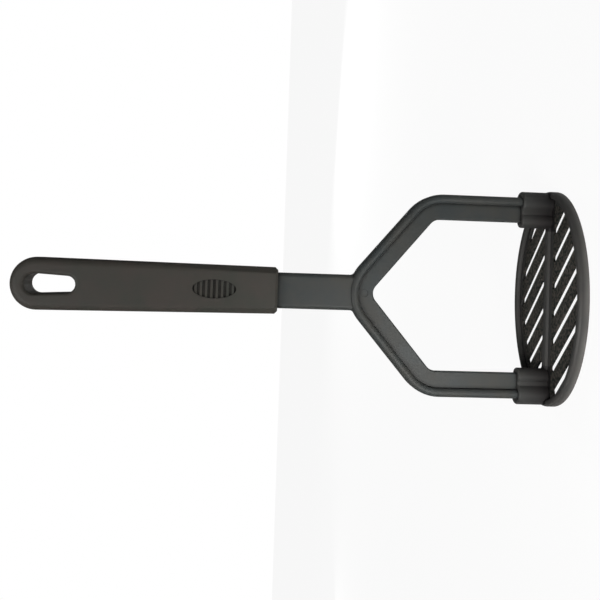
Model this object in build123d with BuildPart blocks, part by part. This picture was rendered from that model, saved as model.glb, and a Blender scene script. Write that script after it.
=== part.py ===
from build123d import *
import os
from math import atan2, degrees, sin, sqrt, tan

# Potato masher, standing on its mashing plate. Millimetres, +Z up along the handle.
# The origin is on the table, under the middle of the plate. X runs across the yoke
# from arm to arm, and Y runs through the flat of the handle.

# Overall sizes
total_height = 261.3
plate_width = 105.2
plate_depth = 75.0

# Mashing plate
floor_height = 1.5
floor_thickness = 1.2
rim_height = 5.0
rim_thickness = 3.4
rim_top_round = 1.3
rim_bottom_round = 0.9
rib_radius = 2.1
slot_pitch = 13.4
slot_width = 3.5
slot_corner = 1.6
slot_angle = 45
slot_side_count = 4
slot_rib_gap = 4.9
slot_rim_gap = 1.2
slot_socket_gap = 0.8
slot_end_share = 1.1

# Sockets that carry the arms
socket_height = 17.9
socket_lobe_radius = 5.2
socket_web_radius = 3.9
socket_web_wall = 2.5
socket_neck_width = 6.0
socket_groove_round = 0.6
socket_mouth_round = 0.8
seat_floor = 3.6
fit_clearance = 0.1

# Frame: yoke, shank and tang
arm_reach = 49.2
arm_width = 12.35
shoulder_height = 66.3
apex_height = 107.9
inner_shoulder_height = 60.75
inner_apex_height = 91.55
shoulder_radius = 21.0
crown_radius = 21.0
inner_shoulder_radius = 6.0
inner_crown_radius = 5.5
bead_width = 4.4
bead_thickness = 8.0
bead_round = 2.1
web_thickness = 3.0
web_edge_round = 0.7
shank_width = 17.25
shank_thickness = 6.0
shank_round = 2.2
neck_round = 3.0
tang_share = 0.507
pin_mark_diameter = 3.8
pin_mark_depth = 0.2

# Grip
grip_front_height = 136.3
grip_end_width = 24.8
grip_front_width = 22.2
grip_end_thickness = 15.0
grip_front_thickness = 13.8
grip_taper_share = 0.695
grip_round = 3.6
grip_front_chamfer = 1.3
facet_leg = 3.0
facet_share = 0.475
hang_top_radius = 4.7
hang_low_radius = 3.9
hang_end_inset = 11.7
hang_centre_spacing = 14.9
hang_mouth_round = 1.6
thumb_front_inset = 30.0
thumb_length = 20.6
thumb_width = 9.0
thumb_depth = 1.2
thumb_rib_pitch = 2.5
thumb_rib_width = 1.1
thumb_rib_height = 0.8
thumb_rib_count = 8

# One overrun serves every cut
overrun = 1.0

# Places worked out from the sizes above
floor_top = floor_height + floor_thickness
arm_inner = arm_reach - arm_width
bead_middle = arm_reach - bead_width / 2
web_lobe_middle = arm_inner - socket_web_wall + socket_web_radius
arm_foot = seat_floor + fit_clearance
slope = atan2(arm_reach, apex_height - shoulder_height)
crown_top = apex_height - crown_radius / sin(slope) + crown_radius
grip_length = total_height - grip_front_height
tang_length = tang_share * grip_length
tang_top = grip_front_height + tang_length
neck_reach = (web_thickness - shank_thickness) / 2 + shank_round
neck_width = shank_width - 2 * shank_round + 2 * sqrt(shank_round**2 - neck_reach**2)
pin_mark_height = (crown_top - bead_width + inner_apex_height) / 2
grip_end_centre = total_height - grip_end_width / 2
grip_taper_length = grip_taper_share * grip_length
grip_thick_height = grip_front_height + grip_taper_length
facet_length = facet_share * grip_length
hang_top_height = total_height - hang_end_inset
hang_low_height = hang_top_height - hang_centre_spacing
thumb_centre_height = grip_front_height + thumb_front_inset
thumb_share = thumb_front_inset / grip_taper_length
thumb_face = (grip_front_thickness + thumb_share * (grip_end_thickness - grip_front_thickness)) / 2


def yoke_path(inset):
    """Lines of the yoke's outer edge drawn in by inset, from one arm's foot over the crown to the other's."""
    reach = arm_reach - inset
    apex = apex_height - inset / sin(slope)
    FilletPolyline(
        (reach, arm_foot),
        (reach, apex - reach / tan(slope)),
        (0, apex),
        (-reach, apex - reach / tan(slope)),
        (-reach, arm_foot),
        radius=[shoulder_radius - inset, crown_radius - inset, shoulder_radius - inset],
    )
    Line((-reach, arm_foot), (reach, arm_foot))


def inner_path():
    """Lines of the yoke's inner edge, round the opening."""
    FilletPolyline(
        (arm_inner, arm_foot),
        (arm_inner, inner_shoulder_height),
        (0, inner_apex_height),
        (-arm_inner, inner_shoulder_height),
        (-arm_inner, arm_foot),
        radius=[inner_shoulder_radius, inner_crown_radius, inner_shoulder_radius],
    )
    Line((-arm_inner, arm_foot), (arm_inner, arm_foot))


def arm_section(clearance):
    """Section of both arms, grown by clearance: a bead outside and a thin web inside."""
    web_length = bead_middle - arm_inner
    for side in (1, -1):
        with Locations((side * bead_middle, 0)):
            RectangleRounded(
                bead_width + 2 * clearance, bead_thickness + 2 * clearance, bead_round + clearance
            )
        with Locations((side * (arm_inner + web_length / 2), 0)):
            Rectangle(web_length + 2 * clearance, web_thickness + 2 * clearance)


def socket_outline(gap):
    """Outline of both sockets, grown by gap: a lobe for the bead, a lobe for the web and a neck between."""
    neck_length = bead_middle - web_lobe_middle
    for side in (1, -1):
        with Locations((side * bead_middle, 0)):
            Circle(socket_lobe_radius + gap)
        with Locations((side * web_lobe_middle, 0)):
            Circle(socket_web_radius + gap)
        with Locations((side * (web_lobe_middle + neck_length / 2), 0)):
            Rectangle(neck_length, socket_neck_width + 2 * gap)


def arc_oval(half_length, half_width):
    """Oval of four tangent arcs, close to the plate's own outline."""
    end_radius = slot_end_share * half_width**2 / half_length
    side_radius = (half_length**2 + half_width**2 - 2 * half_length * end_radius) / 2 / (half_width - end_radius)
    end_place = half_length - end_radius
    side_place = side_radius - half_width
    turn = degrees(atan2(side_place, end_place))
    CenterArc((end_place, 0), end_radius, -turn, 2 * turn)
    CenterArc((0, -side_place), side_radius, turn, 180 - 2 * turn)
    CenterArc((-end_place, 0), end_radius, 180 - turn, 2 * turn)
    CenterArc((0, side_place), side_radius, 180 + turn, 180 - 2 * turn)


def facet_plane(across, through):
    """Plane of one long facet of the grip: it starts on the rounded edge and cuts deeper towards the front."""
    width_share = facet_length / (grip_end_centre - grip_front_height)
    width = grip_front_width + width_share * (grip_end_width - grip_front_width)
    thickness_share = facet_length / grip_taper_length
    thickness = grip_front_thickness + thickness_share * (grip_end_thickness - grip_front_thickness)
    start_leg = grip_round * (2 - sqrt(2))
    front = Vector(across * (grip_front_width / 2 - facet_leg), through * grip_front_thickness / 2, grip_front_height)
    side = Vector(across * grip_front_width / 2, through * (grip_front_thickness / 2 - facet_leg), grip_front_height)
    start = Vector(
        across * (width / 2 - start_leg), through * thickness / 2, grip_front_height + facet_length
    )
    normal = (side - front).cross(start - front) * across * through
    return Plane(origin=front, x_dir=start - front, z_dir=normal)


# Slots: slanted strips, cut to the room inside the rim, beside the rib and round the sockets.
# Each starts smaller by the corner radius, and growing it back rounds its corners.
with BuildSketch() as slot_cores:
    with BuildLine():
        arc_oval(
            plate_width / 2 - rim_thickness - slot_rim_gap - slot_corner,
            plate_depth / 2 - rim_thickness - slot_rim_gap - slot_corner,
        )
    make_face()
    Rectangle(plate_width, 2 * (slot_rib_gap + slot_corner), mode=Mode.SUBTRACT)
    with BuildSketch(mode=Mode.PRIVATE) as keep_clear:
        socket_outline(slot_socket_gap + slot_corner)
    add(keep_clear.sketch, mode=Mode.SUBTRACT)
    with BuildSketch(mode=Mode.PRIVATE) as strips:
        for step in range(-slot_side_count, slot_side_count + 1):
            with Locations((step * slot_pitch, 0)):
                Rectangle(2 * plate_width, slot_width - 2 * slot_corner, rotation=-slot_angle)
    add(strips.sketch, mode=Mode.INTERSECT)

with BuildSketch() as slots:
    for core in slot_cores.sketch.faces():
        if core.area > slot_width * (slot_width - 2 * slot_corner):
            offset(core, amount=slot_corner, kind=Kind.ARC, mode=Mode.ADD)

# Mashing plate: thin slotted floor inside a deeper oval rim, a rib between the sockets, and a socket for each arm
with BuildPart() as mashing_plate:
    with BuildSketch():
        Ellipse(plate_width / 2, plate_depth / 2)
    extrude(amount=rim_height)
    with BuildSketch(Plane.XY.offset(floor_top)):
        Ellipse(plate_width / 2 - rim_thickness, plate_depth / 2 - rim_thickness)
    extrude(amount=rim_height, mode=Mode.SUBTRACT)
    with BuildSketch():
        Ellipse(plate_width / 2 - rim_thickness, plate_depth / 2 - rim_thickness)
    extrude(amount=floor_height, mode=Mode.SUBTRACT)
    fillet(mashing_plate.edges().group_by(Axis.Z)[-1], rim_top_round)
    fillet(mashing_plate.edges().group_by(Axis.Z)[0], rim_bottom_round)
    with BuildSketch(Plane.YZ.offset(-web_lobe_middle)):
        with Locations((0, floor_height + floor_thickness / 2)):
            Circle(rib_radius)
    extrude(amount=2 * web_lobe_middle)
    with BuildSketch() as socket_foot:
        socket_outline(0)
        fillet(socket_foot.vertices().filter_by(lambda v: abs(v.Y) > web_thickness / 2), socket_groove_round)
    extrude(amount=socket_height)
    fillet(mashing_plate.edges().group_by(Axis.Z)[-1], socket_mouth_round)
    with BuildSketch(Plane.XY.offset(seat_floor)):
        arm_section(fit_clearance)
    extrude(amount=socket_height, mode=Mode.SUBTRACT)
    add(slots.sketch)
    extrude(amount=rim_height, mode=Mode.SUBTRACT)

# Frame: web inside, bead round the outside, then the shank and its tang
with BuildPart() as frame:
    with BuildSketch(Plane.XZ):
        with BuildLine():
            yoke_path(bead_width / 2)
        make_face()
    extrude(amount=web_thickness / 2, both=True)
    with BuildSketch(Plane.XZ):
        with BuildLine():
            inner_path()
        make_face()
    extrude(amount=bead_thickness, both=True, mode=Mode.SUBTRACT)
    opening_edges = frame.edges(Select.LAST).filter_by(Axis.Y, reverse=True)
    fillet(opening_edges.filter_by(lambda edge: edge.center().Z > socket_height / 2), web_edge_round)
    with BuildPart(mode=Mode.PRIVATE) as bead:
        with BuildSketch(Plane.XZ):
            with BuildLine():
                yoke_path(0)
            make_face()
            with BuildLine():
                yoke_path(bead_width)
            make_face(mode=Mode.SUBTRACT)
        extrude(amount=bead_thickness / 2, both=True)
        bead_faces = bead.faces().filter_by(Axis.Y)
        fillet(bead_faces.edges().filter_by(Axis.X, reverse=True), bead_round)
    add(bead.part)
    with BuildSketch(Plane.XZ):
        with BuildLine():
            yoke_path(0)
        make_face()
        with Locations((0, crown_top)):
            Rectangle(neck_width, 2 * shank_width)
        offset(amount=neck_round)
        offset(amount=-neck_round)
        with BuildLine():
            yoke_path(bead_width / 2)
        make_face(mode=Mode.SUBTRACT)
    extrude(amount=web_thickness / 2, both=True)
    with BuildSketch(Plane.XY.offset(crown_top - bead_width)):
        RectangleRounded(shank_width, shank_thickness, shank_round)
    extrude(amount=tang_top - crown_top + bead_width)
    with BuildSketch(Plane.XZ.offset(web_thickness / 2 - pin_mark_depth)):
        with Locations((0, pin_mark_height)):
            Circle(pin_mark_diameter / 2)
    extrude(amount=bead_thickness, mode=Mode.SUBTRACT)

# Grip: tapered bar with a round end, a hanging slot and a ribbed thumb rest
with BuildPart() as grip:
    with BuildSketch(Plane.XZ):
        with BuildLine():
            Polyline(
                (grip_end_width / 2, grip_end_centre),
                (grip_front_width / 2, grip_front_height),
                (-grip_front_width / 2, grip_front_height),
                (-grip_end_width / 2, grip_end_centre),
            )
            RadiusArc(
                (-grip_end_width / 2, grip_end_centre),
                (grip_end_width / 2, grip_end_centre),
                grip_end_width / 2,
            )
        make_face()
    extrude(amount=grip_end_thickness / 2, both=True)
    with BuildSketch(Plane.YZ):
        with BuildLine():
            Polyline(
                (grip_end_thickness / 2, total_height + overrun),
                (grip_end_thickness / 2, grip_thick_height),
                (grip_front_thickness / 2, grip_front_height),
                (-grip_front_thickness / 2, grip_front_height),
                (-grip_end_thickness / 2, grip_thick_height),
                (-grip_end_thickness / 2, total_height + overrun),
                close=True,
            )
        make_face()
    extrude(amount=grip_end_width, both=True, mode=Mode.INTERSECT)
    fillet(
        grip.edges()
        .filter_by(lambda edge: abs(edge.center().Y) > grip_front_thickness / 4)
        .filter_by(Axis.X, reverse=True),
        grip_round,
    )
    chamfer(grip.edges().group_by(Axis.Z)[0], grip_front_chamfer)
    for across in (1, -1):
        for through in (1, -1):
            split(bisect_by=facet_plane(across, through), keep=Keep.TOP)
    with BuildSketch(Plane.XZ) as hang_face:
        with Locations((0, hang_top_height)):
            Circle(hang_top_radius)
        with Locations((0, hang_low_height)):
            Circle(hang_low_radius)
        make_hull(hang_face.sketch_local.edges())
    extrude(amount=grip_end_thickness, both=True, mode=Mode.SUBTRACT)
    fillet(grip.edges(Select.LAST).filter_by(Axis.Y, reverse=True), hang_mouth_round)
    with BuildSketch(Plane.XZ.offset(thumb_face - thumb_depth)):
        with Locations((0, thumb_centre_height)):
            Ellipse(thumb_width / 2, thumb_length / 2)
    extrude(amount=thumb_depth + overrun, mode=Mode.SUBTRACT)
    with BuildSketch(Plane.XZ.offset(thumb_face - thumb_depth)) as thumb_ribs:
        with Locations((0, thumb_centre_height)):
            with GridLocations(0, thumb_rib_pitch, 1, thumb_rib_count):
                Rectangle(thumb_width, thumb_rib_width)
            Ellipse(thumb_width / 2, thumb_length / 2, mode=Mode.INTERSECT)
    extrude(amount=thumb_rib_height)
    with BuildSketch(Plane.XY.offset(grip_front_height - overrun)):
        RectangleRounded(
            shank_width + 2 * fit_clearance, shank_thickness + 2 * fit_clearance, shank_round + fit_clearance
        )
    extrude(amount=tang_length + overrun + fit_clearance, mode=Mode.SUBTRACT)

os.makedirs("parts", exist_ok=True)
mashing_plate.part.label = "mashing_plate"
export_step(mashing_plate.part, "parts/mashing_plate.step")
frame.part.label = "frame"
export_step(frame.part, "parts/frame.step")
grip.part.label = "grip"
export_step(grip.part, "parts/grip.step")
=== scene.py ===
"""Potato masher: finishes for its three mouldings, a plain studio and the camera."""
from math import radians
from typing import NamedTuple

import bpy
import numpy as np
from bpy.props import FloatProperty, FloatVectorProperty, PointerProperty
from mathutils import Euler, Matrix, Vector


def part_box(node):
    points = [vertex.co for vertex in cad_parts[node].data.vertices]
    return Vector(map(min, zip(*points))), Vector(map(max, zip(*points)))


bl_info = {
    "name": "Potato masher",
    "version": (1, 0, 0),
    "blender": (4, 5, 0),
    "location": "3D View > Sidebar > Masher",
    "description": "Finishes and studio for a potato masher with a slotted plate",
    "category": "Object",
}

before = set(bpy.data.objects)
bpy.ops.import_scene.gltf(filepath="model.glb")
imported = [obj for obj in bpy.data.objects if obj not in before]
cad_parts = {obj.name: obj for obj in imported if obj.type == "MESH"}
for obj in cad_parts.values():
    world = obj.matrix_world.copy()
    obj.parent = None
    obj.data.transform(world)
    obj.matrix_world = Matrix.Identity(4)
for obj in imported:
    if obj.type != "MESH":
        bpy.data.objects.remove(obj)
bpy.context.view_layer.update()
WHITE = (1, 1, 1, 1)
PLASTIC_IOR = 1.5
NEAR_CLIP = 0.01

# Noise lies round 0.5: each pair holds the value read as none and the value read as all.
PATCH_RANGE = (0.35, 0.65)
ROUGHNESS_RANGE = (0.3, 0.7)
STIPPLE_RANGE = (0.42, 0.58)
# The next two set the patches of the painted highlight on the rim's lower outside edge
RIM_HIGHLIGHT_RANGE = (0.3, 0.6)
LEAST_RIM_HIGHLIGHT = 0.55

# Share of open directions at which the painted crease shade is darkest and at which it ends, and the rays
# that count it
CREASE_RANGE = (0.5, 0.95)
CREASE_RAYS = 8

# Directions' Y at which gloss starts to show the backdrop and at which it shows it in full
BACKDROP_RANGE = (0.5, 0.8)


# Settings


class MasherFinish(bpy.types.PropertyGroup):
    """Colours and grain of the three mouldings, with their painted shade, painted light and painted
    highlight.
    """

    plate_colour: FloatVectorProperty(
        name="Plate colour", description="Moulded colour of the mashing plate", subtype="COLOR",
        size=3, min=0, max=1, default=(0.042, 0.043, 0.042),
    )
    frame_colour: FloatVectorProperty(
        name="Frame colour", description="Moulded colour of the yoke and shank", subtype="COLOR",
        size=3, min=0, max=1, default=(0.036, 0.042, 0.043),
    )
    grip_colour: FloatVectorProperty(
        name="Grip colour", description="Moulded colour of the grip", subtype="COLOR",
        size=3, min=0, max=1, default=(0.041, 0.042, 0.036),
    )
    plate_patch: FloatVectorProperty(
        name="Plate patches", description="Colour of the soft patches in the plate", subtype="COLOR",
        size=3, min=0, max=1, default=(0.050, 0.048, 0.046),
    )
    frame_patch: FloatVectorProperty(
        name="Frame patches", description="Colour of the soft patches in the frame", subtype="COLOR",
        size=3, min=0, max=1, default=(0.047, 0.048, 0.045),
    )
    grip_patch: FloatVectorProperty(
        name="Grip patches", description="Colour of the soft patches in the grip", subtype="COLOR",
        size=3, min=0, max=1, default=(0.050, 0.044, 0.039),
    )
    plate_roughness: FloatVectorProperty(
        name="Plate roughness", description="Least and greatest roughness of the plate", size=2,
        min=0, max=1, default=(0.45, 0.6),
    )
    frame_roughness: FloatVectorProperty(
        name="Frame roughness", description="Least and greatest roughness of the frame", size=2,
        min=0, max=1, default=(0.42, 0.52),
    )
    grip_roughness: FloatVectorProperty(
        name="Grip roughness", description="Least and greatest roughness of the grip", size=2,
        min=0, max=1, default=(0.5, 0.62),
    )
    specular: FloatProperty(
        name="Specular", description="Strength of the plastic's gloss", default=0.2, min=0, max=1,
    )
    grain_depth: FloatProperty(
        name="Grain depth", description="Depth of the plate's grain, half in the frame and more in the grip",
        subtype="DISTANCE", unit="LENGTH", default=0.00002,
    )
    # Painted shade in the creases of the plate and frame
    crease_share: FloatProperty(
        name="Crease share", description="Share of the colour left in a crease of the plate or frame",
        default=0.07, min=0, max=1,
    )
    # Painted shade in the creases of the grip
    grip_crease_share: FloatProperty(
        name="Grip crease share", description="Share of the colour left in a crease of the grip",
        default=0.4, min=0, max=1,
    )
    grain_size: FloatProperty(
        name="Grain size", description="Size of the spark-eroded grain", subtype="DISTANCE",
        unit="LENGTH", default=0.0004,
    )
    patch_size: FloatProperty(
        name="Patch size", description="Size of the soft patches in the moulded colour",
        subtype="DISTANCE", unit="LENGTH", default=0.012,
    )
    # Reach of the painted crease shade
    crease_reach: FloatProperty(
        name="Crease reach", description="How near faces must close in to darken a crease",
        subtype="DISTANCE", unit="LENGTH", default=0.002,
    )
    # Reach of the painted crease shade on the plate
    slot_reach: FloatProperty(
        name="Slot reach", description="The same reach for the mashing plate, whose slots stay open",
        subtype="DISTANCE", unit="LENGTH", default=0.0006,
    )
    stipple_size: FloatProperty(
        name="Stipple size", description="Spacing of the stipple in the plate's floor",
        subtype="DISTANCE", unit="LENGTH", default=0.0014,
    )
    stipple_depth: FloatProperty(
        name="Stipple depth", description="Depth of the stipple in the plate's floor",
        subtype="DISTANCE", unit="LENGTH", default=0.0004,
    )
    # Painted shade in the stipple's hollows and painted light on its points
    hollow_shade_colour: FloatVectorProperty(
        name="Hollow colour", description="Colour between the points of the stipple", subtype="COLOR",
        size=3, min=0, max=1, default=(0.017, 0.021, 0.018),
    )
    raised_light_colour: FloatVectorProperty(
        name="Raised colour", description="Colour on the points of the stipple", subtype="COLOR",
        size=3, min=0, max=1, default=(0.070, 0.062, 0.054),
    )
    rim_top: FloatProperty(
        name="Rim top", description="Height of the rim, up to which the sockets' foot is dark",
        subtype="DISTANCE", unit="LENGTH", default=0.005,
    )
    socket_end: FloatProperty(
        name="Socket end", description="Distance from the middle to the sockets' inner ends",
        subtype="DISTANCE", unit="LENGTH", default=0.033,
    )
    socket_depth: FloatProperty(
        name="Socket depth", description="Half the sockets' depth, front to back",
        subtype="DISTANCE", unit="LENGTH", default=0.0056,
    )
    # Painted shade at the sockets' foot
    foot_shade_tint: FloatVectorProperty(
        name="Foot tint", description="What the colour is multiplied by at the sockets' foot",
        subtype="COLOR", size=3, min=0, max=1, default=(0.34, 0.32, 0.34),
    )
    field_margin: FloatProperty(
        name="Field margin", description="Width of the smooth band round the stippled fields",
        subtype="DISTANCE", unit="LENGTH", default=0.0055,
    )
    rib_margin: FloatProperty(
        name="Rib margin", description="Distance from the rib's middle to the stippled fields",
        subtype="DISTANCE", unit="LENGTH", default=0.0048,
    )
    # Painted highlight on the rim's lower outside edge: its colour
    rim_highlight_colour: FloatVectorProperty(
        name="Rubbed colour", description="Colour of the rim's rubbed lower edge", subtype="COLOR",
        size=3, min=0, max=1, default=(0.155, 0.15, 0.143),
    )
    # How far up the rim the painted highlight reaches
    rim_highlight_height: FloatProperty(
        name="Rubbed height", description="How far up the rim the rubbing reaches",
        subtype="DISTANCE", unit="LENGTH", default=0.0032,
    )
    # Width of the rim's outside band that takes the painted highlight
    rim_width: FloatProperty(
        name="Rim width", description="Width of the rim's outside band that takes the rubbing",
        subtype="DISTANCE", unit="LENGTH", default=0.0008,
    )
    floor_level: FloatProperty(
        name="Floor level", description="Height just above the plate's floor", subtype="DISTANCE",
        unit="LENGTH", default=0.0028,
    )


class MasherStage(bpy.types.PropertyGroup):
    """Camera and lights."""

    camera_place: FloatVectorProperty(
        name="Camera place", description="Where the camera stands", subtype="TRANSLATION",
        unit="LENGTH", size=3, default=(0.014163, -0.328340, 0.148566),
    )
    camera_turn: FloatVectorProperty(
        name="Camera turn", description="How the camera is turned, with the handle lying across",
        subtype="EULER", unit="ROTATION", size=3,
        default=(radians(31.0772), radians(86.1930), radians(-59.8938)),
    )
    camera_lens: FloatProperty(
        name="Lens", description="Focal length in millimetres", default=40.8,
    )
    sensor_width: FloatProperty(
        name="Sensor width", description="Width of the camera's sensor in millimetres", default=36.0,
    )
    camera_shift: FloatVectorProperty(
        name="Shift", description="Sideways and upward shift of the frame", size=2,
        default=(0.013197, -0.084725),
    )
    floor_size: FloatProperty(
        name="Floor size", description="Side of the square floor", subtype="DISTANCE",
        unit="LENGTH", default=6.0,
    )
    floor_colour: FloatVectorProperty(
        name="Floor colour", description="Colour of the floor's paint", subtype="COLOR",
        size=3, min=0, max=1, default=(0.8, 0.8, 0.8),
    )
    floor_glow: FloatProperty(
        name="Floor glow", description="Share of the floor's look that is plain white", default=0.93,
        min=0, max=1,
    )
    key_power: FloatProperty(
        name="Key power", description="Power of the large front light", unit="POWER", default=0.24,
    )
    back_power: FloatProperty(
        name="Back power", description="Power of the light behind, to the left", unit="POWER", default=0.6,
    )
    rear_power: FloatProperty(
        name="Rear power", description="Power of the light on the back faces", unit="POWER", default=5.0,
    )
    side_power: FloatProperty(
        name="Side power", description="Power of the light on the right side", unit="POWER", default=1.8,
    )
    low_power: FloatProperty(
        name="Low power", description="Power of the light near the floor", unit="POWER", default=0.38,
    )
    end_power: FloatProperty(
        name="End power", description="Power of the light at the grip's end", unit="POWER", default=1.25,
    )
    gloss_share: FloatProperty(
        name="Gloss share", description="How much of the white background gloss shows", default=0.08,
        min=0, max=1,
    )
    room_mean: FloatProperty(
        name="Room light", description="Mean strength of the room's light", default=0.032,
    )
    room_slope: FloatVectorProperty(
        name="Room slope", description="How the room's light changes along X, Y and Z", size=3,
        default=(-0.03, -0.012, 0.0),
    )


# Shader helpers


def socket(group, name, kind, side, value=None):
    """Adds one named input or output to a node group."""
    made = group.interface.new_socket(name=name, in_out=side, socket_type=kind)
    if value is not None:
        made.default_value = value
    return made


def give(links, target, value):
    """Sets an input to a number or colour, or links a socket to it."""
    if isinstance(value, bpy.types.NodeSocket):
        links.new(value, target)
    else:
        target.default_value = value


def math_node(nodes, links, operation, first, second=None):
    """One Math node: the operation on one or two sockets or numbers."""
    node = nodes.new("ShaderNodeMath")
    node.operation = operation
    give(links, node.inputs[0], first)
    if second is not None:
        give(links, node.inputs[1], second)
    return node.outputs["Value"]


def range_node(nodes, links, value, from_min, from_max, to_min=0.0, to_max=1.0):
    """One Map Range node: from_min becomes to_min and from_max becomes to_max, clamped to those."""
    node = nodes.new("ShaderNodeMapRange")
    give(links, node.inputs["Value"], value)
    give(links, node.inputs["From Min"], from_min)
    give(links, node.inputs["From Max"], from_max)
    give(links, node.inputs["To Min"], to_min)
    give(links, node.inputs["To Max"], to_max)
    return node.outputs["Result"]


def colour_mix(nodes, links, share, first, second, blend="MIX"):
    """One mix of two colours: the first at share 0, and the second, or its blend with the first, at 1."""
    node = nodes.new("ShaderNodeMixRGB")
    node.blend_type = blend
    give(links, node.inputs["Fac"], share)
    give(links, node.inputs["Color1"], first)
    give(links, node.inputs["Color2"], second)
    return node.outputs["Color"]


def noise_node(nodes, links, place, scale, detail=2.0, roughness=0.5):
    """One Noise Texture node on the object's own coordinates."""
    node = nodes.new("ShaderNodeTexNoise")
    node.inputs["Detail"].default_value = detail
    node.inputs["Roughness"].default_value = roughness
    links.new(place, node.inputs["Vector"])
    give(links, node.inputs["Scale"], scale)
    return node.outputs["Fac"]


def object_place(nodes):
    """Socket with the place on the piece, in its own coordinates."""
    return nodes.new("ShaderNodeTexCoord").outputs["Object"]


def split_place(nodes, links, place):
    """The three sockets X, Y and Z of a place."""
    split = nodes.new("ShaderNodeSeparateXYZ")
    links.new(place, split.inputs["Vector"])
    return split.outputs["X"], split.outputs["Y"], split.outputs["Z"]


def oval_sum(nodes, links, x, y, half_length, half_width):
    """(x / half length)^2 + (y / half width)^2, which is 1 on the oval."""
    along = math_node(nodes, links, "DIVIDE", x, half_length)
    across = math_node(nodes, links, "DIVIDE", y, half_width)
    along = math_node(nodes, links, "MULTIPLY", along, along)
    across = math_node(nodes, links, "MULTIPLY", across, across)
    return math_node(nodes, links, "ADD", along, across)


def new_group(name, inputs, outputs):
    """New node group with float or colour sockets: returns it, its input node and its output node."""
    group = bpy.data.node_groups.new(name, "ShaderNodeTree")
    for title, value in inputs.items():
        kind = "NodeSocketColor" if isinstance(value, tuple) else "NodeSocketFloat"
        socket(group, title, kind, "INPUT", value)
    for title, kind in outputs.items():
        socket(group, title, kind, "OUTPUT")
    return group, group.nodes.new("NodeGroupInput"), group.nodes.new("NodeGroupOutput")


def grain_group():
    """Node group: fine grain as a height, and soft patches in the colour and the roughness."""
    name = "moulded_grain"
    if name in bpy.data.node_groups:
        return bpy.data.node_groups[name]
    group, given, result = new_group(
        name,
        {
            "Grain per metre": 2500.0,
            "Patches per metre": 80.0,
            "Base Colour": (0.1, 0.1, 0.1, 1.0),
            "Patch Colour": (0.2, 0.2, 0.2, 1.0),
            "Roughness Low": 0.35,
            "Roughness High": 0.5,
        },
        {"Colour": "NodeSocketColor", "Roughness": "NodeSocketFloat", "Height": "NodeSocketFloat"},
    )
    nodes, links = group.nodes, group.links
    place = object_place(nodes)
    grain = noise_node(nodes, links, place, given.outputs["Grain per metre"], detail=3.0, roughness=0.6)
    links.new(grain, result.inputs["Height"])
    patch = noise_node(nodes, links, place, given.outputs["Patches per metre"], detail=4.0)
    colour = colour_mix(
        nodes, links, range_node(nodes, links, patch, *PATCH_RANGE),
        given.outputs["Base Colour"], given.outputs["Patch Colour"],
    )
    links.new(colour, result.inputs["Colour"])
    rough = range_node(
        nodes, links, patch, *ROUGHNESS_RANGE,
        given.outputs["Roughness Low"], given.outputs["Roughness High"],
    )
    links.new(rough, result.inputs["Roughness"])
    return group


def crease_group(alone):
    """Node group: painted shade that darkens a colour where faces close in within a reach, counting the
    piece alone or all.

    The colour is whole where enough of the directions round a point are open, and the crease colour where
    too few of them are.
    """
    name = "crease_shade_alone" if alone else "crease_shade"
    if name in bpy.data.node_groups:
        return bpy.data.node_groups[name]
    group, given, result = new_group(
        name,
        {"Reach": 0.002, "Colour": (0.1, 0.1, 0.1, 1.0), "Crease Colour": (0.01, 0.01, 0.01, 1.0)},
        {"Colour": "NodeSocketColor"},
    )
    nodes, links = group.nodes, group.links
    closed = nodes.new("ShaderNodeAmbientOcclusion")
    closed.samples = CREASE_RAYS
    closed.only_local = alone
    links.new(given.outputs["Reach"], closed.inputs["Distance"])
    share = range_node(nodes, links, closed.outputs["AO"], *CREASE_RANGE)
    colour = colour_mix(nodes, links, share, given.outputs["Crease Colour"], given.outputs["Colour"])
    links.new(colour, result.inputs["Colour"])
    return group


def field_group():
    """Node group: mask of the stippled fields of the plate's floor.

    A field is inside an oval, further from the rib than the margin, and not above the floor's level.
    """
    name = "stippled_field"
    if name in bpy.data.node_groups:
        return bpy.data.node_groups[name]
    group, given, result = new_group(
        name,
        {"Half length": 0.048, "Half width": 0.033, "Rib margin": 0.004, "Floor level": 0.003},
        {"Mask": "NodeSocketFloat"},
    )
    nodes, links = group.nodes, group.links
    x, y, z = split_place(nodes, links, object_place(nodes))
    oval = oval_sum(nodes, links, x, y, given.outputs["Half length"], given.outputs["Half width"])
    inside = math_node(nodes, links, "LESS_THAN", oval, 1)
    away = math_node(nodes, links, "ABSOLUTE", y)
    beside = math_node(nodes, links, "GREATER_THAN", away, given.outputs["Rib margin"])
    low = math_node(nodes, links, "LESS_THAN", z, given.outputs["Floor level"])
    mask = math_node(nodes, links, "MULTIPLY", inside, beside)
    mask = math_node(nodes, links, "MULTIPLY", mask, low)
    links.new(mask, result.inputs["Mask"])
    return group


def foot_shade_group():
    """Node group: mask of the painted shade at the foot of the two sockets, 1 up to the rim's top and
    falling to 0 at the sockets' top.

    A socket is where the distance along X is more than its inner end and the distance along Y is less than
    its half depth.
    """
    name = "socket_foot"
    if name in bpy.data.node_groups:
        return bpy.data.node_groups[name]
    group, given, result = new_group(
        name,
        {"Inner end": 0.032, "Half depth": 0.0056, "Rim top": 0.005, "Socket top": 0.018},
        {"Mask": "NodeSocketFloat"},
    )
    nodes, links = group.nodes, group.links
    x, y, z = split_place(nodes, links, object_place(nodes))
    out = math_node(nodes, links, "ABSOLUTE", x)
    out = math_node(nodes, links, "GREATER_THAN", out, given.outputs["Inner end"])
    near = math_node(nodes, links, "ABSOLUTE", y)
    near = math_node(nodes, links, "LESS_THAN", near, given.outputs["Half depth"])
    inside = math_node(nodes, links, "MULTIPLY", out, near)
    fall = range_node(nodes, links, z, given.outputs["Rim top"], given.outputs["Socket top"], 1, 0)
    links.new(math_node(nodes, links, "MULTIPLY", inside, fall), result.inputs["Mask"])
    return group


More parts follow.
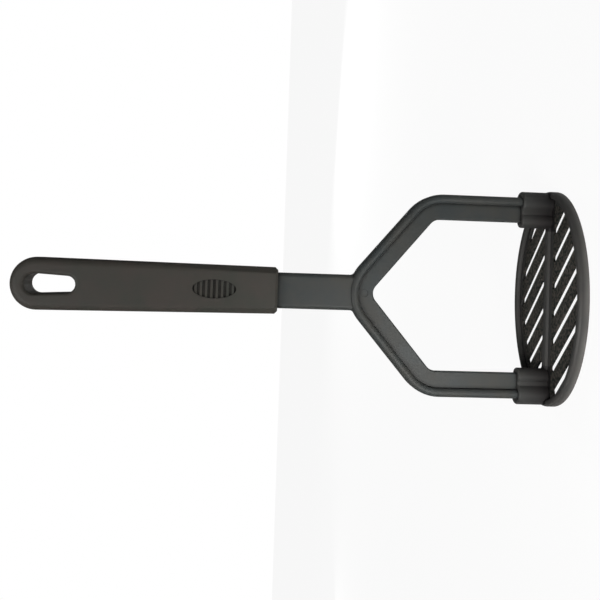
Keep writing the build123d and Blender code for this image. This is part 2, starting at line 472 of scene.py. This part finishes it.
def rim_highlight_group():
    """Node group: mask of a painted highlight outside an oval, 1 at the table and 0 at the given height,
    with soft patches.
    """
    name = "rubbed_edge"
    if name in bpy.data.node_groups:
        return bpy.data.node_groups[name]
    group, given, result = new_group(
        name,
        {"Half length": 0.051, "Half width": 0.036, "Height": 0.004, "Patches per metre": 60.0},
        {"Mask": "NodeSocketFloat"},
    )
    nodes, links = group.nodes, group.links
    place = object_place(nodes)
    x, y, z = split_place(nodes, links, place)
    oval = oval_sum(nodes, links, x, y, given.outputs["Half length"], given.outputs["Half width"])
    outside = math_node(nodes, links, "GREATER_THAN", oval, 1)
    rise = math_node(nodes, links, "DIVIDE", z, given.outputs["Height"])
    fall = range_node(nodes, links, rise, 1, 0)
    patch = noise_node(nodes, links, place, given.outputs["Patches per metre"])
    spread = range_node(nodes, links, patch, *RIM_HIGHLIGHT_RANGE, LEAST_RIM_HIGHLIGHT)
    mask = math_node(nodes, links, "MULTIPLY", outside, fall)
    links.new(math_node(nodes, links, "MULTIPLY", mask, spread), result.inputs["Mask"])
    return group


def place_group(nodes, group, values):
    """Puts a node group into a material with its own values."""
    node = nodes.new("ShaderNodeGroup")
    node.node_tree = group
    for title, value in values.items():
        node.inputs[title].default_value = value
    return node


def opaque(colour):
    """A colour with its fourth value."""
    return (*colour, 1)


def moulded_plastic(name, colour, patch_colour, roughness, bump_depth, reach, crease_share, alone=False):
    """Plastic with moulded grain: one colour with soft patches of another, and painted shade in creases.

    In a crease the painted shade takes the colour down to its crease share; roughness is its least and
    greatest value.
    """
    finish = bpy.context.scene.masher_finish
    material = bpy.data.materials.new(name)
    material.use_nodes = True
    nodes, links = material.node_tree.nodes, material.node_tree.links
    shader = nodes["Principled BSDF"]
    shader.inputs["Specular IOR Level"].default_value = finish.specular
    shader.inputs["IOR"].default_value = PLASTIC_IOR
    grain = place_group(nodes, grain_group(), {
        "Grain per metre": 1 / finish.grain_size,
        "Patches per metre": 1 / finish.patch_size,
        "Base Colour": opaque(colour),
        "Patch Colour": opaque(patch_colour),
        "Roughness Low": roughness[0],
        "Roughness High": roughness[1],
    })
    # Painted shade in creases, where faces close in
    crease = place_group(nodes, crease_group(alone), {
        "Reach": reach,
        "Crease Colour": opaque(crease_share * value for value in colour),
    })
    bump = nodes.new("ShaderNodeBump")
    bump.inputs["Distance"].default_value = bump_depth
    bump.inputs["Strength"].default_value = 1.0
    links.new(grain.outputs["Colour"], crease.inputs["Colour"])
    links.new(crease.outputs["Colour"], shader.inputs["Base Color"])
    links.new(grain.outputs["Roughness"], shader.inputs["Roughness"])
    links.new(grain.outputs["Height"], bump.inputs["Height"])
    links.new(bump.outputs["Normal"], shader.inputs["Normal"])
    return material


def finish_plate(material, finish):
    """Adds what only the plate has: stippled fields with painted shade in their hollows and painted light on
    their points, painted shade at the foot of its sockets and a painted highlight on the rim's lower outside
    edge.
    """
    nodes, links = material.node_tree.nodes, material.node_tree.links
    shader = nodes["Principled BSDF"]
    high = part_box("mashing_plate")[1]
    field = place_group(nodes, field_group(), {
        "Half length": high[0] - finish.field_margin,
        "Half width": high[1] - finish.field_margin,
        "Rib margin": finish.rib_margin,
        "Floor level": finish.floor_level,
    })
    # Painted shade at the foot of the sockets, darkest at the rim's top
    foot = place_group(nodes, foot_shade_group(), {
        "Inner end": finish.socket_end,
        "Half depth": finish.socket_depth,
        "Rim top": finish.rim_top,
        "Socket top": high[2],
    })
    # Painted highlight on the rim's lower outside edge
    highlight_mask = place_group(nodes, rim_highlight_group(), {
        "Half length": high[0] - finish.rim_width,
        "Half width": high[1] - finish.rim_width,
        "Height": finish.rim_highlight_height,
    })

    dots = noise_node(nodes, links, object_place(nodes), 1 / finish.stipple_size, detail=1.5)
    raised = range_node(nodes, links, dots, *STIPPLE_RANGE)
    bump = nodes.new("ShaderNodeBump")
    bump.inputs["Distance"].default_value = finish.stipple_depth
    bump.inputs["Strength"].default_value = 1.0
    height = math_node(nodes, links, "MULTIPLY", raised, field.outputs["Mask"])
    links.new(height, bump.inputs["Height"])
    fine = shader.inputs["Normal"].links[0].from_node
    links.new(bump.outputs["Normal"], fine.inputs["Normal"])

    plain = shader.inputs["Base Color"].links[0].from_socket
    # Painted shade in the stipple's hollows and painted light on its points, following its height
    painted_stipple_shading = colour_mix(nodes, links, raised, opaque(finish.hollow_shade_colour), opaque(finish.raised_light_colour))
    colour = colour_mix(nodes, links, field.outputs["Mask"], plain, painted_stipple_shading)
    # Painted shade at the sockets' foot
    colour = colour_mix(nodes, links, foot.outputs["Mask"], colour, opaque(finish.foot_shade_tint), "MULTIPLY")
    # Painted highlight on the rim's lower outside edge
    colour = colour_mix(nodes, links, highlight_mask.outputs["Mask"], colour, opaque(finish.rim_highlight_colour))
    links.new(colour, shader.inputs["Base Color"])


def dress(piece, material):
    """Puts one material on every face of a piece."""
    piece.data.materials.clear()
    piece.data.materials.append(material)


# Pieces


class MASHER_OT_plate(bpy.types.Operator):
    """Finish the mashing plate"""

    bl_idname = "masher.plate"
    bl_label = "Mashing plate"

    def execute(self, context):
        finish = context.scene.masher_finish
        material = moulded_plastic(
            "plate_plastic", finish.plate_colour, finish.plate_patch, finish.plate_roughness,
            finish.grain_depth, finish.slot_reach, finish.crease_share, True,
        )
        finish_plate(material, finish)
        dress(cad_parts["mashing_plate"], material)
        return {"FINISHED"}


class MASHER_OT_frame(bpy.types.Operator):
    """Finish the yoke and shank"""

    bl_idname = "masher.frame"
    bl_label = "Frame"

    def execute(self, context):
        finish = context.scene.masher_finish
        material = moulded_plastic(
            "frame_plastic", finish.frame_colour, finish.frame_patch, finish.frame_roughness,
            finish.grain_depth / 2, finish.crease_reach, finish.crease_share,
        )
        dress(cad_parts["frame"], material)
        return {"FINISHED"}


class MASHER_OT_grip(bpy.types.Operator):
    """Finish the grip"""

    bl_idname = "masher.grip"
    bl_label = "Grip"

    def execute(self, context):
        finish = context.scene.masher_finish
        material = moulded_plastic(
            "grip_plastic", finish.grip_colour, finish.grip_patch, finish.grip_roughness,
            finish.grain_depth * 1.5, finish.crease_reach, finish.grip_crease_share,
        )
        dress(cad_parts["grip"], material)
        return {"FINISHED"}


# Stage


def seen_rays(nodes, links, gloss):
    """Mask of 1 for camera and transmission rays, and the gloss value or socket for glossy rays."""
    path = nodes.new("ShaderNodeLightPath")
    seen = math_node(
        nodes, links, "MAXIMUM", path.outputs["Is Camera Ray"], path.outputs["Is Transmission Ray"],
    )
    mirrored = math_node(nodes, links, "MULTIPLY", path.outputs["Is Glossy Ray"], gloss)
    return math_node(nodes, links, "MAXIMUM", seen, mirrored)


def shader_mix(nodes, links, share, first, second, result):
    """Mixes two shaders by share and puts them out as the surface."""
    mix = nodes.new("ShaderNodeMixShader")
    links.new(share, mix.inputs["Fac"])
    links.new(first, mix.inputs[1])
    links.new(second, mix.inputs[2])
    links.new(mix.outputs["Shader"], result.inputs["Surface"])


def pale_floor(stage):
    """Floor material: near white where the camera sees it, with a faint shadow left in it."""
    material = bpy.data.materials.new("pale_floor")
    material.use_nodes = True
    nodes, links = material.node_tree.nodes, material.node_tree.links
    nodes.clear()
    result = nodes.new("ShaderNodeOutputMaterial")
    paint = nodes.new("ShaderNodeBsdfDiffuse")
    paint.inputs["Color"].default_value = opaque(stage.floor_colour)
    glow = nodes.new("ShaderNodeEmission")
    glow.inputs["Color"].default_value = WHITE
    seen = seen_rays(nodes, links, stage.gloss_share)
    share = math_node(nodes, links, "MULTIPLY", seen, stage.floor_glow)
    shader_mix(nodes, links, share, paint.outputs["BSDF"], glow.outputs["Emission"], result)
    return material


def studio_world(scene):
    """World: a white backdrop for what is seen, and a soft room that lights the object.

    The room's strength at a direction is its mean plus the dot product of that direction with its slope.
    The backdrop stands behind the object, so gloss shows it only towards +Y.
    """
    stage = scene.masher_stage
    world = bpy.data.worlds.new("studio")
    world.use_nodes = True
    scene.world = world
    nodes, links = world.node_tree.nodes, world.node_tree.links
    nodes.clear()
    result = nodes.new("ShaderNodeOutputWorld")
    direction = nodes.new("ShaderNodeTexCoord").outputs["Generated"]
    slope = nodes.new("ShaderNodeVectorMath")
    slope.operation = "DOT_PRODUCT"
    slope.inputs[1].default_value = stage.room_slope
    links.new(direction, slope.inputs[0])
    level = math_node(nodes, links, "ADD", slope.outputs["Value"], stage.room_mean)
    room = nodes.new("ShaderNodeBackground")
    room.inputs["Color"].default_value = WHITE
    links.new(math_node(nodes, links, "MAXIMUM", level, 0), room.inputs["Strength"])

    y = split_place(nodes, links, direction)[1]
    behind = range_node(nodes, links, y, *BACKDROP_RANGE, 0, stage.gloss_share)
    backdrop = nodes.new("ShaderNodeBackground")
    backdrop.inputs["Color"].default_value = WHITE
    seen = seen_rays(nodes, links, behind)
    shader_mix(nodes, links, seen, room.outputs["Background"], backdrop.outputs["Background"], result)


class Lamp(NamedTuple):
    """One soft square light: its place, its aim, its side, its colour, and whether gloss shows it."""

    name: str
    place: tuple
    aim: tuple
    size: float
    colour: tuple = (1, 1, 1)
    in_gloss: bool = True


MIDDLE = (0, 0, 0.13)
LAMPS = (
    Lamp("key", (-0.1, -1.0, 0.25), MIDDLE, 0.45),
    Lamp("back", (-0.6, 0.7, 0.12), MIDDLE, 0.2),
    Lamp("rear", (0.3, 0.9, 0.25), MIDDLE, 0.3, in_gloss=False),
    Lamp("side", (0.9, 0.35, 0.3), MIDDLE, 0.3, in_gloss=False),
    Lamp("low", (-0.08, -0.195, 0.042), (-0.02, 0, 0.022), 0.1, colour=(1, 0.98, 0.95)),
    Lamp("end", (-0.12, -0.3, 0.5), (0, 0, 0.25), 0.16),
)


def soft_light(lamp, power):
    """Square area light for one lamp, hidden from the camera."""
    made = bpy.data.lights.new(lamp.name, "AREA")
    made.color = lamp.colour
    made.shape = "SQUARE"
    made.size = lamp.size
    made.energy = power
    light = bpy.data.objects.new(lamp.name, made)
    light.visible_camera = False
    light.visible_glossy = lamp.in_gloss
    light.location = lamp.place
    light.rotation_euler = (Vector(lamp.aim) - Vector(lamp.place)).to_track_quat("-Z", "Y").to_euler()
    bpy.context.scene.collection.objects.link(light)


class MASHER_OT_stage(bpy.types.Operator):
    """Make the floor, the world, the lights and the camera"""

    bl_idname = "masher.stage"
    bl_label = "Stage"

    def execute(self, context):
        scene = context.scene
        stage = scene.masher_stage
        half = stage.floor_size / 2
        mesh = bpy.data.meshes.new("floor")
        corners = np.array([(-1, -1, 0), (1, -1, 0), (1, 1, 0), (-1, 1, 0)]) * half
        mesh.from_pydata(corners.tolist(), [], [(0, 1, 2, 3)])
        floor = bpy.data.objects.new("floor", mesh)
        scene.collection.objects.link(floor)
        dress(floor, pale_floor(stage))

        studio_world(scene)
        for lamp in LAMPS:
            soft_light(lamp, getattr(stage, f"{lamp.name}_power"))

        lens = bpy.data.cameras.new("camera")
        lens.sensor_width = stage.sensor_width
        lens.lens = stage.camera_lens
        lens.shift_x, lens.shift_y = stage.camera_shift
        lens.clip_start = NEAR_CLIP
        camera = bpy.data.objects.new("camera", lens)
        camera.location = stage.camera_place
        camera.rotation_euler = Euler(stage.camera_turn)
        scene.collection.objects.link(camera)
        scene.camera = camera
        scene.view_settings.view_transform = "Standard"
        return {"FINISHED"}


class MASHER_PT_panel(bpy.types.Panel):
    """Sizes, colours and steps of the masher"""

    bl_label = "Potato masher"
    bl_idname = "MASHER_PT_panel"
    bl_space_type = "VIEW_3D"
    bl_region_type = "UI"
    bl_category = "Masher"

    def draw(self, context):
        for settings in (context.scene.masher_finish, context.scene.masher_stage):
            for name in settings.__annotations__:
                self.layout.prop(settings, name)
        for step in STEPS:
            self.layout.operator(step.bl_idname)


SETTINGS = (MasherFinish, MasherStage)
STEPS = (MASHER_OT_plate, MASHER_OT_frame, MASHER_OT_grip, MASHER_OT_stage)


def register():
    for made in (*SETTINGS, *STEPS, MASHER_PT_panel):
        bpy.utils.register_class(made)
    bpy.types.Scene.masher_finish = PointerProperty(type=MasherFinish)
    bpy.types.Scene.masher_stage = PointerProperty(type=MasherStage)


def unregister():
    del bpy.types.Scene.masher_stage
    del bpy.types.Scene.masher_finish
    for made in reversed((*SETTINGS, *STEPS, MASHER_PT_panel)):
        bpy.utils.unregister_class(made)


def main():
    """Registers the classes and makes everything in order."""
    register()
    bpy.ops.masher.plate()
    bpy.ops.masher.frame()
    bpy.ops.masher.grip()
    bpy.ops.masher.stage()


if __name__ == "__main__":
    main()
